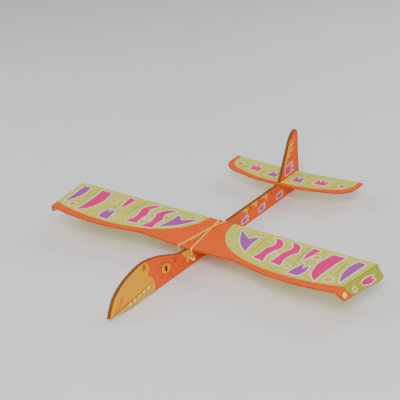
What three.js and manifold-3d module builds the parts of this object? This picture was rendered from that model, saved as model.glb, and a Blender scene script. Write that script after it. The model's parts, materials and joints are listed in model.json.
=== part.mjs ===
// A balsa hand glider, 60 cm across, in the shape of a flying reptile.
// Millimetres. +X is the glider's port side, +Y points aft, +Z is up.
// The origin is on the belly of the fuselage plank, under the middle of the wing's chord.
import * as THREE from "three";
import { mergeVertices } from "three/addons/utils/BufferGeometryUtils.js";
import Module from "manifold-3d";

const wasm = await Module();
wasm.setup();

// ---- driving dimensions ----
const FUSELAGE_THICKNESS = 6;
const BOOM_DEPTH = 31;
const BOOM_END_Y = 275;
const HALF_PLANK = FUSELAGE_THICKNESS / 2;

const WING_THICKNESS = 3;
const WING_DIHEDRAL = THREE.MathUtils.degToRad(3);
const WING_ROOT_GAP = 0.1; // glue line on each side of the centre seam
const GLUE_GAP = 0.1;
const CREASE_FRONT = new THREE.Vector2(275, -73); // fold line of the tip, in the panel's plane
const CREASE_REAR = new THREE.Vector2(291, 21);
const TIP_FOLD = THREE.MathUtils.degToRad(65); // fold at rest, down from flat
const TIP_FOLD_MOST = THREE.MathUtils.degToRad(80);
const TIP_EDGE_GAP = 0.15;
const TIP_END_TRIM = 0.5;
const CUTTER_REACH = 20; // how far a cutting block runs past the sheet it cuts
const ROOT_OVERRUN = 1; // drawn past the centre line, then trimmed

const SEAT_HALF_WIDTH = 30;
const SEAT_HALF_LENGTH = 40;
const SEAT_MIDDLE_HEIGHT = 0.6;
const RAIL_THICKNESS = 3;
const RAIL_DEPTH = 8;

const PEG_RADIUS = 2;
const PEG_CLEARANCE = 0.1;
const FRONT_PEG = { y: -52, z: 15, halfLength: 14 };
const REAR_PEG = { y: 56, z: 17, halfLength: 11 };

const BAND_RADIUS = 0.6;
const BAND_STRAND_OFFSET = 0.85; // half the spacing of a band's two strands
const BAND_FRONT_X = 11.5;
const BAND_REAR_X = 8;
const BAND_LIFT = 1.7; // how far the upper band climbs over the lower one
const BAND_CROSSING_Y = 12;
const BAND_CLIMB_START = 26; // the climb over the other band, fore and aft of the crossing
const BAND_CLIMB_END = 11;
const BAND_BEND = 1.6; // run of the turn over a wing edge
const BAND_BULGE = 0.3;
const BAND_WING_GAP = 0.4;
const BAND_PEG_GAP = 0.3;

const TAIL_THICKNESS = 2.5;
const TAIL_TRAILING_Y = 267.5; // the fin's foot steps down behind the tailplane here
const FIN_TABS = [
  [222, 234],
  [252, 263],
];
const FIN_TAB_CLEARANCE = 0.1;

const WEIGHT_RADIUS = 15;
const WEIGHT_THICKNESS = 4.5;
const WEIGHT_CENTRE = { y: -165, z: 31 };
const WEIGHT_CLEARANCE = 0.1;

const TAPE_WIDTH = 6; // on each side of the fold line
const TAPE_END_MARGIN = 4;
const TAPE_THICKNESS = 0.2;
const FILM_GAP = 0.1;
const FILM_THICKNESS = 0.2;
const WING_STICKER_BORDER = 2; // pale margin outside the coloured shape
const TIP_STICKER_BORDER = 1.5;
const TAIL_STICKER_BORDER = 1.5;
const BOOM_STICKER_BORDER = 1.2;

// ---- materials ----
const wood = (color) => new THREE.MeshStandardMaterial({ color, roughness: 0.75, metalness: 0 });
const MATERIALS = {
  printedBalsa: wood(0xf97a0a),
  paleBalsa: wood(0xe0c592),
  dowel: wood(0xf0dca0),
  steel: new THREE.MeshStandardMaterial({ color: 0x9a9a98, roughness: 0.4, metalness: 1 }),
  rubber: new THREE.MeshStandardMaterial({ color: 0xffe066, roughness: 0.6, metalness: 0 }),
  tape: new THREE.MeshStandardMaterial({ color: 0xd9de6f, roughness: 0.5, metalness: 0 }),
  pink: new THREE.MeshStandardMaterial({ color: 0xf5007d, roughness: 0.35, metalness: 0 }),
  purple: new THREE.MeshStandardMaterial({ color: 0xb258ac, roughness: 0.35, metalness: 0 }),
  yellow: new THREE.MeshStandardMaterial({ color: 0xffc400, roughness: 0.35, metalness: 0 }),
};

// ---- outlines ----
const CURVE_STEPS = 4; // steps for each point of a smooth run
const DISC_SEGMENTS = 40;
const PEG_SEGMENTS = 24;
const BAND_STEPS = 190;
const BAND_SIDES = 6;
const ROUND_STEPS = 12;
const SAME_POINT = 1e-3;
const ROUND_JOIN_STEP = Math.PI / 7;
const ORIGIN = new THREE.Vector2(0, 0);

// Each stretch is one corner, [x, y], or a smooth run of points, [[x, y], [x, y], ...].
function outline(start, ...stretches) {
  const path = new THREE.Path();
  path.moveTo(...start);
  for (const stretch of stretches) {
    if (Array.isArray(stretch[0])) path.splineThru(stretch.map((p) => new THREE.Vector2(...p)));
    else path.lineTo(...stretch);
  }
  return closedShape(path.getPoints(CURVE_STEPS));
}

// A counter-clockwise shape through the points, without any that repeat the one before or the first.
function closedShape(points) {
  const apart = (a, b) => a.distanceTo(b) > SAME_POINT;
  const kept = points.filter((p, i) => i === 0 || apart(p, points[i - 1]));
  if (!apart(kept[0], kept[kept.length - 1])) kept.pop();
  if (THREE.ShapeUtils.isClockWise(kept)) kept.reverse();
  return new THREE.Shape(kept);
}

// The outline grown by the width, with round joins at its outer corners.
function grown(shape, width) {
  const points = closedShape(shape.getPoints(ROUND_STEPS)).getPoints();
  const made = [];
  points.forEach((p, i) => {
    const before = p.clone().sub(points.at(i - 1)).normalize();
    const after = points[(i + 1) % points.length].clone().sub(p).normalize();
    const turn = Math.atan2(before.cross(after), before.dot(after));
    const steps = Math.max(1, Math.ceil(turn / ROUND_JOIN_STEP));
    const normal = new THREE.Vector2(before.y, -before.x);
    const reach = steps > 1 ? width : width / Math.cos(turn / 2);
    for (let k = 0; k <= steps; k += 1) {
      if (steps === 1 && k > 0) break;
      const angle = steps > 1 ? (turn * k) / steps : turn / 2;
      made.push(normal.clone().rotateAround(ORIGIN, angle).multiplyScalar(reach).add(p));
    }
  });
  return closedShape(made);
}

function disc(x, y, radius) {
  const shape = new THREE.Shape();
  shape.absarc(x, y, radius, 0, 2 * Math.PI, false);
  return shape;
}

function roundHole(x, y, radius) {
  const hole = new THREE.Path();
  hole.absarc(x, y, radius, 0, 2 * Math.PI, true);
  return hole;
}

function slot(halfWidth, low, high) {
  const hole = new THREE.Path();
  hole.moveTo(-halfWidth, low);
  hole.lineTo(-halfWidth, high);
  hole.lineTo(halfWidth, high);
  hole.lineTo(halfWidth, low);
  hole.closePath();
  return hole;
}

function plate(shape, thickness) {
  return new THREE.ExtrudeGeometry(shape, {
    depth: thickness,
    bevelEnabled: false,
    curveSegments: ROUND_STEPS,
  });
}

// Stands a plate drawn in (y, z) upright, with its faces at x and x + thickness.
function upright(geometry, x) {
  const turn = new THREE.Matrix4().makeBasis(
    new THREE.Vector3(0, 1, 0),
    new THREE.Vector3(0, 0, 1),
    new THREE.Vector3(1, 0, 0),
  );
  return geometry.applyMatrix4(turn).translate(x, 0, 0);
}

function lengthwiseX(geometry) {
  return geometry.rotateZ(-Math.PI / 2);
}

// ---- booleans ----
function solid(geometry) {
  const bare = geometry.clone();
  bare.deleteAttribute("normal");
  bare.deleteAttribute("uv");
  const merged = mergeVertices(bare, 1e-4);
  return new wasm.Manifold(
    new wasm.Mesh({
      numProp: 3,
      vertProperties: new Float32Array(merged.attributes.position.array),
      triVerts: new Uint32Array(merged.index.array),
    }),
  );
}

function geometryOf(manifold) {
  const made = manifold.getMesh();
  const geometry = new THREE.BufferGeometry();
  geometry.setAttribute("position", new THREE.BufferAttribute(made.vertProperties, 3));
  geometry.setIndex(new THREE.BufferAttribute(made.triVerts, 1));
  geometry.computeVertexNormals();
  return geometry;
}

function cut(geometry, ...tools) {
  let result = solid(geometry);
  for (const tool of tools) result = result.subtract(solid(tool));
  return geometryOf(result);
}

// ---- scene helpers ----
const glider = new THREE.Group();
glider.name = "balsa_hand_glider";

function add(parent, name, geometry, material) {
  const mesh = new THREE.Mesh(geometry, material);
  mesh.name = name;
  parent.add(mesh);
  return mesh;
}

// ---- fuselage plank, with the head's profile at the front ----
function fuselageGeometry() {
  const profile = outline(
    [-238.5, 7.5],
    [[-232, 20.5], [-224, 33], [-212, 42.5], [-197.5, 50], [-181, 55], [-160, 58.5],
      [-140, 56.5], [-118, 50.5], [-95, 41.5], [-82, 35.5]],
    [[-70, 32.2], [-57, BOOM_DEPTH]],
    [BOOM_END_Y, BOOM_DEPTH],
    [BOOM_END_Y, 0],
    [-100, 0],
    [[-138, 1.2], [-161, 2.2], [-186, 1.5], [-216, 4.5], [-238.5, 7.5]],
  );
  for (const peg of [FRONT_PEG, REAR_PEG]) {
    profile.holes.push(roundHole(peg.y, peg.z, PEG_RADIUS + PEG_CLEARANCE));
  }
  const plank = upright(plate(profile, FUSELAGE_THICKNESS), -HALF_PLANK);
  const depth = WEIGHT_THICKNESS + WEIGHT_CLEARANCE;
  const radius = WEIGHT_RADIUS + WEIGHT_CLEARANCE;
  const pocket = lengthwiseX(new THREE.CylinderGeometry(radius, radius, 2 * depth, DISC_SEGMENTS));
  pocket.translate(-HALF_PLANK, WEIGHT_CENTRE.y, WEIGHT_CENTRE.z);
  return cut(plank, pocket);
}

function noseWeightGeometry() {
  const disc = new THREE.CylinderGeometry(WEIGHT_RADIUS, WEIGHT_RADIUS, WEIGHT_THICKNESS, DISC_SEGMENTS);
  return lengthwiseX(disc).translate(-HALF_PLANK + WEIGHT_THICKNESS / 2, WEIGHT_CENTRE.y, WEIGHT_CENTRE.z);
}

function pegGeometry(peg) {
  const dowel = new THREE.CylinderGeometry(PEG_RADIUS, PEG_RADIUS, 2 * peg.halfLength, PEG_SEGMENTS);
  return lengthwiseX(dowel).translate(0, peg.y, peg.z);
}

// ---- wing seat: two rails on the plank's flanks and a V-shaped block that sets the dihedral ----
function railGeometry() {
  const rail = new THREE.BoxGeometry(RAIL_THICKNESS, 2 * SEAT_HALF_LENGTH, RAIL_DEPTH);
  return rail.translate(HALF_PLANK + RAIL_THICKNESS / 2, 0, BOOM_DEPTH - RAIL_DEPTH / 2);
}

function seatGeometry() {
  const edgeHeight = SEAT_MIDDLE_HEIGHT + SEAT_HALF_WIDTH * Math.tan(WING_DIHEDRAL);
  const section = outline(
    [-SEAT_HALF_WIDTH, 0],
    [SEAT_HALF_WIDTH, 0],
    [SEAT_HALF_WIDTH, edgeHeight],
    [0, SEAT_MIDDLE_HEIGHT],
    [-SEAT_HALF_WIDTH, edgeHeight],
  );
  const block = plate(section, 2 * SEAT_HALF_LENGTH).rotateX(Math.PI / 2);
  return block.translate(0, SEAT_HALF_LENGTH, BOOM_DEPTH);
}

// ---- wing panels and their folding tips, drawn flat for the port side ----
const WING_BASE_Z = BOOM_DEPTH + SEAT_MIDDLE_HEIGHT + GLUE_GAP;
const CREASE_LENGTH = CREASE_FRONT.distanceTo(CREASE_REAR);
const CREASE_TURN = -Math.atan2(CREASE_REAR.x - CREASE_FRONT.x, CREASE_REAR.y - CREASE_FRONT.y);

// A wedge along the fold line that bevels a sheet's end face under its top edge.
function creaseBevel(towards) {
  const run = 2 * WING_THICKNESS * Math.tan(TIP_FOLD_MOST / 2);
  const section = outline(
    [-towards * CUTTER_REACH, WING_THICKNESS],
    [0, WING_THICKNESS],
    [towards * run, -WING_THICKNESS],
    [-towards * CUTTER_REACH, -WING_THICKNESS],
  );
  return plate(section, 2 * CREASE_LENGTH)
    .rotateX(Math.PI / 2)
    .translate(0, 1.5 * CREASE_LENGTH, 0);
}

function onCrease(geometry) {
  return geometry.rotateZ(CREASE_TURN).translate(CREASE_FRONT.x, CREASE_FRONT.y, 0);
}

function wingPanelGeometry() {
  const shape = outline(
    [-ROOT_OVERRUN, -56],
    [92, -57],
    [[120, -64], [155, -72], [200, -77], [245, -76], CREASE_FRONT.toArray()],
    CREASE_REAR.toArray(),
    [-ROOT_OVERRUN, 45],
  );
  const panel = plate(shape, WING_THICKNESS);
  return cut(panel, onCrease(creaseBevel(-1)));
}

function tipGeometry() {
  const shape = outline(
    [TIP_EDGE_GAP, TIP_END_TRIM],
    [[9.5, 4], [18.5, 10]],
    [[19.3, 20], [19.8, 46], [21.5, 66], [24, 85]],
    [20, 97],
    [9, 94.5],
    [TIP_EDGE_GAP, CREASE_LENGTH - TIP_END_TRIM],
  );
  return cut(plate(shape, WING_THICKNESS), creaseBevel(1));
}

// The hinge strip: a film glued over the fold line, bent to the fold's rest angle.
function hingeTapeGeometry() {
  const inner = FILM_GAP;
  const outer = FILM_GAP + TAPE_THICKNESS;
  const top = Math.PI / 2;
  const along = new THREE.Vector2(Math.cos(TIP_FOLD), -Math.sin(TIP_FOLD));
  const out = new THREE.Vector2(Math.sin(TIP_FOLD), Math.cos(TIP_FOLD));
  const end = along.clone().multiplyScalar(TAPE_WIDTH);
  const section = new THREE.Shape();
  section.moveTo(-TAPE_WIDTH, inner);
  section.lineTo(0, inner);
  section.absarc(0, 0, inner, top, top - TIP_FOLD, true);
  section.lineTo(end.x + inner * out.x, end.y + inner * out.y);
  section.lineTo(end.x + outer * out.x, end.y + outer * out.y);
  section.lineTo(outer * out.x, outer * out.y);
  section.absarc(0, 0, outer, top - TIP_FOLD, top, false);
  section.lineTo(-TAPE_WIDTH, outer);
  section.closePath();
  const length = CREASE_LENGTH - 2 * TAPE_END_MARGIN;
  return plate(section, length)
    .rotateX(Math.PI / 2)
    .translate(0, length + TAPE_END_MARGIN, WING_THICKNESS);
}

// ---- tail ----
function tailplaneGeometry() {
  const half = [[56, 208], [78, 213.5], [100, 218.5], [113, 224], [123, 232], [130, 244], [132, 262]];
  const mirrored = half.map(([x, y]) => [-x, y]).reverse();
  const shape = outline(
    [0, 205],
    [38, 205.5],
    half,
    [132, 277],
    [0, 267],
    [-132, 277],
    [-132, 262],
    [...mirrored.slice(1), [-38, 205.5]],
  );
  for (const [low, high] of FIN_TABS) {
    const gap = FIN_TAB_CLEARANCE;
    shape.holes.push(slot(HALF_PLANK + gap, low - gap, high + gap));
  }
  return plate(shape, TAIL_THICKNESS).translate(0, 0, BOOM_DEPTH);
}

function finGeometry() {
  const base = BOOM_DEPTH + TAIL_THICKNESS;
  const tabs = FIN_TABS.flatMap(([low, high]) => [
    [low, base],
    [low, BOOM_DEPTH],
    [high, BOOM_DEPTH],
    [high, base],
  ]);
  const shape = outline(
    [212, base],
    ...tabs,
    [TAIL_TRAILING_Y, base],
    [TAIL_TRAILING_Y, BOOM_DEPTH],
    [BOOM_END_Y, BOOM_DEPTH],
    [[274.6, 70], [275.5, 104]],
    [[272, 112], [264, 112]],
    [[251, 102], [239, 81], [227, 59], [212, base]],
  );
  return upright(plate(shape, FUSELAGE_THICKNESS), -HALF_PLANK);
}

// ---- rubber bands ----
// A band's path from one wing edge to the other, at the height its strands clear the wing.
const BAND_TOP =
  WING_BASE_Z + WING_THICKNESS + BAND_FRONT_X * Math.tan(WING_DIHEDRAL) + BAND_RADIUS + BAND_WING_GAP;
const LEADING_EDGE_TURN = new THREE.Vector2(-57.2, WING_BASE_Z - 1);
const TRAILING_EDGE_TURN = new THREE.Vector2(46.2, WING_BASE_Z - 1);

// One strand; side is the end of the front peg that the band hooks on.
function strandPoints(side, offset, lift) {
  const slope = (-side * (BAND_REAR_X + BAND_FRONT_X)) / (REAR_PEG.y - FRONT_PEG.y);
  const at = (y, z) => new THREE.Vector3(side * BAND_FRONT_X + offset + slope * (y - FRONT_PEG.y), y, z);
  const front = LEADING_EDGE_TURN;
  const rear = TRAILING_EDGE_TURN;
  return [
    at(front.x, front.y),
    at(front.x - BAND_BULGE, front.y + WING_THICKNESS - 0.5),
    at(front.x, BAND_TOP - BAND_RADIUS),
    at(front.x + BAND_BEND, BAND_TOP),
    at(front.x + 4 * BAND_BEND, BAND_TOP),
    at(BAND_CROSSING_Y - BAND_CLIMB_START, BAND_TOP),
    at(BAND_CROSSING_Y - BAND_CLIMB_END, BAND_TOP + lift),
    at(BAND_CROSSING_Y + BAND_CLIMB_END, BAND_TOP + lift),
    at(BAND_CROSSING_Y + BAND_CLIMB_START, BAND_TOP),
    at(rear.x - BAND_BEND, BAND_TOP),
    at(rear.x, BAND_TOP - BAND_RADIUS),
    at(rear.x + BAND_BULGE, rear.y + WING_THICKNESS - 0.5),
    at(rear.x, rear.y),
  ];
}

// The turn round a peg, from the strand on one side to the strand on the other.
function wrapPoints(peg, x, edge, fromOffset) {
  const radius = PEG_RADIUS + BAND_RADIUS + BAND_PEG_GAP;
  const centre = new THREE.Vector2(peg.y, peg.z);
  const toEdge = edge.clone().sub(centre).normalize();
  const outward = new THREE.Vector2(toEdge.y, -toEdge.x).multiplyScalar(Math.sign(toEdge.x));
  return [0, 0.25, 0.5, 0.75, 1].map((share) => {
    const angle = Math.PI * share;
    const p = centre
      .clone()
      .addScaledVector(outward, -radius * Math.cos(angle) * Math.sign(fromOffset))
      .addScaledVector(toEdge, -radius * Math.sin(angle));
    return new THREE.Vector3(x + fromOffset * Math.cos(angle), p.x, p.y);
  });
}

function bandGeometry(side, lift) {
  const there = strandPoints(side, BAND_STRAND_OFFSET, lift);
  const back = strandPoints(side, -BAND_STRAND_OFFSET, lift).reverse();
  const rearTurn = wrapPoints(REAR_PEG, -side * BAND_REAR_X, TRAILING_EDGE_TURN, BAND_STRAND_OFFSET);
  const frontTurn = wrapPoints(FRONT_PEG, side * BAND_FRONT_X, LEADING_EDGE_TURN, -BAND_STRAND_OFFSET);
  const points = [...there, ...rearTurn, ...back, ...frontTurn];
  const loop = new THREE.CatmullRomCurve3(points, true, "centripetal");
  return new THREE.TubeGeometry(loop, BAND_STEPS, BAND_RADIUS, BAND_SIDES, true);
}

// ---- stickers ----
// x grows towards the tip and y aft; inboard is how much nearer the root the starboard copy is laid.
function bone(x, y) {
  const p = (dx, dy) => [x + dx, y + dy];
  return outline(
    p(-11, 28),
    [p(-1, 27), p(9, 17), p(13, 4)],
    [p(7, -9), p(5, -24), p(10, -41)],
    p(-11, -37),
    [p(-8, -22), p(-8, -6), p(-2, 6)],
    [p(-3, 16), p(-11, 28)],
  );
}

const WING_STICKERS = [
  {
    name: "arrow",
    colour: "purple",
    inboard: 18,
    shape: outline(
      [50, 29],
      [[61, 20], [76, 9]],
      [90, 21],
      [[90, -4], [95, -29]],
      [[75, -12], [61, 7], [50, 29]],
    ),
  },
  { name: "bone_inner", colour: "pink", inboard: 33, shape: bone(126, -1) },
  { name: "bone_outer", colour: "pink", inboard: 32, shape: bone(157, -2) },
  {
    name: "small_fin",
    colour: "pink",
    inboard: 18,
    shape: outline([188, -16], [[184, 2], [185, 22]], [198, 22], [[194, 4], [188, -16]]),
  },
  {
    name: "crown",
    colour: "purple",
    inboard: 23,
    shape: outline([187, -56], [[190, -40], [196, -22]], [200, -41], [206, -26], [[209, -42], [205, -57]]),
  },
  {
    name: "large_fin",
    colour: "pink",
    inboard: 3,
    shape: outline(
      [234, -60],
      [[219, -42], [214, -12], [221, 17]],
      [242, 17],
      [[237, -10], [234, -40], [234, -60]],
    ),
  },
  {
    name: "tip_fin",
    colour: "purple",
    inboard: 0,
    shape: outline([268, -48], [[260, -28], [259, -4], [265, 14]], [277, 11], [[273, -16], [268, -48]]),
  },
  { name: "dot_1", colour: "yellow", inboard: 32, shape: disc(140.5, -17, 3.6) },
  { name: "dot_2", colour: "yellow", inboard: 18, shape: disc(176, -39, 4.5) },
  { name: "dot_3", colour: "yellow", inboard: 6, shape: disc(203, -1, 5.5) },
  { name: "dot_4", colour: "yellow", inboard: 0, shape: disc(250, -48, 6) },
];

// On the folded tip, x is outward from the fold line and y runs along it.
const TIP_STICKERS = [
  {
    name: "tip_flame",
    colour: "pink",
    inboard: 0,
    shape: outline([9, 51], [[7.5, 62], [10, 78]], [12.5, 70], [16.5, 79], [[17.5, 66], [14, 53]]),
  },
  { name: "tip_dot", colour: "yellow", inboard: 0, shape: disc(12, 35, 3.4) },
];

const TAIL_STICKERS = [
  {
    name: "tail_crown",
    colour: "purple",
    inboard: 0,
    shape: outline([17, 226], [18, 249], [25, 238], [30, 251], [36, 228]),
  },
  {
    name: "tail_comb",
    colour: "pink",
    inboard: 0,
    shape: outline([57, 234], [58, 255], [64, 246], [67, 256], [73, 247], [77, 257], [80, 236]),
  },
  { name: "tail_dot", colour: "pink", inboard: 0, shape: disc(106, 248, 4.5) },
];

const FIN_STICKER = outline([229, 39], [231, 55], [254, 57], [240, 50], [257, 49], [242, 44], [256, 40]);
const BOOM_STICKERS_Y = [208, 152, 101];
const BOOM_STICKERS_Z = 11;

// A small comb whose prongs point aft.
function boomComb(y, z) {
  const corners = [[-10, -3], [-6, 3.5], [9, 5], [0, 1.6], [11, 0.8], [2, -1.4], [9, -4], [-3, -4.5]];
  const [first, ...rest] = corners.map(([dy, dz]) => [y + dy, z + dz]);
  return outline(first, ...rest);
}

function film(shape, border) {
  return plate(grown(shape, border), FILM_THICKNESS);
}

function addStickers(parent, side, stickers, border, height) {
  for (const { name, colour, inboard, shape } of stickers) {
    const shift = side === "starboard" ? -inboard : 0;
    const laid = film(shape, border).translate(shift, 0, height);
    add(parent, `sticker_${side}_${name}`, laid, MATERIALS[colour]);
  }
}

// ---- assembly ----
add(glider, "fuselage", fuselageGeometry(), MATERIALS.printedBalsa);
add(glider, "nose_weight", noseWeightGeometry(), MATERIALS.steel);
add(glider, "wing_seat", seatGeometry(), MATERIALS.paleBalsa);
add(glider, "front_band_peg", pegGeometry(FRONT_PEG), MATERIALS.dowel);
add(glider, "rear_band_peg", pegGeometry(REAR_PEG), MATERIALS.dowel);
add(glider, "tailplane", tailplaneGeometry(), MATERIALS.printedBalsa);
add(glider, "fin", finGeometry(), MATERIALS.printedBalsa);
add(glider, "rubber_band_lower", bandGeometry(1, 0), MATERIALS.rubber);
add(glider, "rubber_band_upper", bandGeometry(-1, BAND_LIFT), MATERIALS.rubber);

// A half holds what has a twin on the other side, drawn for port and mirrored for starboard.
function addHalf(side) {
  const half = new THREE.Group();
  half.scale.x = side === "starboard" ? -1 : 1;
  glider.add(half);

  const wing = new THREE.Group();
  wing.position.z = WING_BASE_Z;
  wing.rotation.y = -WING_DIHEDRAL;
  half.add(wing);
  add(wing, `wing_${side}`, rootTrimmed(wingPanelGeometry()), MATERIALS.printedBalsa);
  addStickers(wing, side, WING_STICKERS, WING_STICKER_BORDER, WING_THICKNESS + FILM_GAP);

  const crease = new THREE.Group();
  crease.position.set(CREASE_FRONT.x, CREASE_FRONT.y, 0);
  crease.rotation.z = CREASE_TURN;
  wing.add(crease);
  add(crease, `hinge_tape_${side}`, hingeTapeGeometry(), MATERIALS.tape);

  const fold = new THREE.Group();
  fold.position.z = WING_THICKNESS;
  fold.rotation.y = TIP_FOLD;
  crease.add(fold);
  const tip = new THREE.Group();
  tip.position.z = -WING_THICKNESS;
  fold.add(tip);
  add(tip, `tip_${side}`, tipGeometry(), MATERIALS.printedBalsa);
  addStickers(tip, side, TIP_STICKERS, TIP_STICKER_BORDER, WING_THICKNESS + FILM_GAP);

  add(half, `saddle_rail_${side}`, railGeometry(), MATERIALS.paleBalsa);
  addStickers(half, side, TAIL_STICKERS, TAIL_STICKER_BORDER, BOOM_DEPTH + TAIL_THICKNESS + FILM_GAP);
  const flank = HALF_PLANK + FILM_GAP;
  const finComb = upright(film(FIN_STICKER, TAIL_STICKER_BORDER), flank);
  add(half, `sticker_${side}_fin_comb`, finComb, MATERIALS.pink);
  BOOM_STICKERS_Y.forEach((y, i) => {
    const comb = upright(film(boomComb(y, BOOM_STICKERS_Z), BOOM_STICKER_BORDER), flank);
    add(half, `sticker_${side}_boom_${i + 1}`, comb, MATERIALS.purple);
  });
}

// Cuts the panel's root upright, so that the two panels meet in a plane at the centre line.
function rootTrimmed(panel) {
  const box = new THREE.BoxGeometry(CUTTER_REACH, 2 * CREASE_LENGTH, 2 * CUTTER_REACH);
  box.translate(WING_ROOT_GAP - CUTTER_REACH / 2, 0, 0);
  box.rotateY(WING_DIHEDRAL);
  return cut(panel, box);
}

addHalf("port");
addHalf("starboard");

export default glider;
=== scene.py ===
import json
import math

import bmesh
import bpy
from mathutils import Matrix, Vector
from mathutils.geometry import delaunay_2d_cdt


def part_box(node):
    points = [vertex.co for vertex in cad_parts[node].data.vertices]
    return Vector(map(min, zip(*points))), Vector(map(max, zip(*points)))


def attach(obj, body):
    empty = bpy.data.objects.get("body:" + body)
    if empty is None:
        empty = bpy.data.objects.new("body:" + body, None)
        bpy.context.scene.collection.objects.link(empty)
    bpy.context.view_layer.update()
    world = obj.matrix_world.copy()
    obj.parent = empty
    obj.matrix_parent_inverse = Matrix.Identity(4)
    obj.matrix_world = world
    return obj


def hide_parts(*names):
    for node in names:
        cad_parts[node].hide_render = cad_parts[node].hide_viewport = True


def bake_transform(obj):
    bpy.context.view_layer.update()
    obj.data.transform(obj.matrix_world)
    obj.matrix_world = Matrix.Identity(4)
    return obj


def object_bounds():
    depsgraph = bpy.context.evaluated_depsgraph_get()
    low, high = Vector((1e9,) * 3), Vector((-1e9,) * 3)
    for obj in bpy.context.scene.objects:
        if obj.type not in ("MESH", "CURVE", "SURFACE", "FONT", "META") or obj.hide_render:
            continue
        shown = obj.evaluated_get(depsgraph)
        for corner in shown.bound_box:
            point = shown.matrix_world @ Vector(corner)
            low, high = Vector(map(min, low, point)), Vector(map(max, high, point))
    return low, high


# The looks of a balsa hand glider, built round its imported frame.
# Lengths are millimetres until MM turns them to metres.
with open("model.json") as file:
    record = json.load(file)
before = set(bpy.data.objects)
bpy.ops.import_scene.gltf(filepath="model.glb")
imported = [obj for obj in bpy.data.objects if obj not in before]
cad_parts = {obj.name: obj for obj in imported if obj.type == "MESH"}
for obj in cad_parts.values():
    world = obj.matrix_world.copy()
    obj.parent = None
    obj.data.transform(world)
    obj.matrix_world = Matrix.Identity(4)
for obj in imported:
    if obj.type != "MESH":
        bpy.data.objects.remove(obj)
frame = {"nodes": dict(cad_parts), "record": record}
CAD_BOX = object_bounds()
MM = 0.001
SIDES = {"port": 1, "starboard": -1}

# ---- camera ----
AZIMUTH, ELEVATION, ROLL = (math.radians(a) for a in (39.3, 26.1, -5.0))
CAMERA_DISTANCE = 1.4455
CAMERA_TARGET = Vector((-0.0195, 0.0144, 0.0812))
SENSOR_WIDTH = 36.0
LENS = 81.6


def make_camera():
    back = Vector(
        (
            math.sin(AZIMUTH) * math.cos(ELEVATION),
            -math.cos(AZIMUTH) * math.cos(ELEVATION),
            math.sin(ELEVATION),
        )
    )
    level = back.to_track_quat("Z", "Y").to_matrix()
    turned = level @ Matrix.Rotation(ROLL, 3, "Z")
    data = bpy.data.cameras.new("camera")
    data.lens = LENS
    data.sensor_width = SENSOR_WIDTH
    camera = bpy.data.objects.new("camera", data)
    bpy.context.scene.collection.objects.link(camera)
    camera.matrix_world = Matrix.Translation(CAMERA_TARGET + back * CAMERA_DISTANCE) @ turned.to_4x4()
    bpy.context.scene.camera = camera


make_camera()

# ---- materials ----
GRAIN_X, GRAIN_Y, GRAIN_Z = (0, 1, 2)
DEEPENING = 1.25
BUMP_DEPTH = 0.0004


def linear(code):
    """The linear colour of an sRGB hex code, deepened to stay vivid under studio light."""
    out = []
    for i in (0, 2, 4):
        c = int(code[i : i + 2], 16) / 255
        out.append(c / 12.92 if c <= 0.04045 else ((c + 0.055) / 1.055) ** 2.4)
    top = max(out)
    return (*(top * (c / top) ** DEEPENING for c in out), 1.0)


class Nodes:
    """Short calls for building one material's node tree."""

    def __init__(self, name):
        self.material = bpy.data.materials.new(name)
        self.material.use_nodes = True
        self.tree = self.material.node_tree
        self.shader = self.tree.nodes["Principled BSDF"]

    def add(self, kind, settings=(), **sockets):
        node = self.tree.nodes.new(kind)
        for key, value in dict(settings).items():
            setattr(node, key, value)
        for key, value in sockets.items():
            socket = node.inputs[key.replace("_", " ")]
            self.put(socket, value)
        return node

    def put(self, socket, value):
        if isinstance(value, bpy.types.NodeSocket):
            self.tree.links.new(value, socket)
        else:
            socket.default_value = value

    def shade(self, **sockets):
        for key, value in sockets.items():
            self.put(self.shader.inputs[key.replace("_", " ")], value)
        return self.material

    def place(self, scale):
        """The point in the object's own coordinates, stretched by a scale for each axis."""
        spot = self.add("ShaderNodeTexCoord")
        return self.add("ShaderNodeMapping", Vector=spot.outputs["Object"], Scale=scale).outputs["Vector"]

    def noise(self, scale, detail=4.0, roughness=0.55):
        spot = self.place(scale)
        node = self.add("ShaderNodeTexNoise", Vector=spot, Scale=1.0, Detail=detail, Roughness=roughness)
        return node.outputs["Fac"]

    def ramp(self, fac, *stops):
        node = self.add("ShaderNodeValToRGB", Fac=fac)
        while len(node.color_ramp.elements) < len(stops):
            node.color_ramp.elements.new(0.5)
        for element, (position, colour) in zip(node.color_ramp.elements, stops):
            element.position = position
            element.color = colour
        return node.outputs["Color"]

    def mix(self, fac, a, b, blend="MIX"):
        node = self.add("ShaderNodeMix", {"data_type": "RGBA", "blend_type": blend})
        self.put(node.inputs["Factor"], fac)
        self.put(node.inputs[6], a)
        self.put(node.inputs[7], b)
        return node.outputs[2]

    def maths(self, operation, a, b):
        node = self.add("ShaderNodeMath", {"operation": operation})
        self.put(node.inputs[0], a)
        self.put(node.inputs[1], b)
        return node.outputs[0]

    def bump(self, height, strength, distance=BUMP_DEPTH):
        node = self.add("ShaderNodeBump", Height=height, Strength=strength, Distance=distance)
        return node.outputs["Normal"]


def grain_scale(axis, along, across):
    scale = [across] * 3
    scale[axis] = along
    return tuple(scale)


def grey(value):
    return (value, value, value, 1.0)


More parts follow.
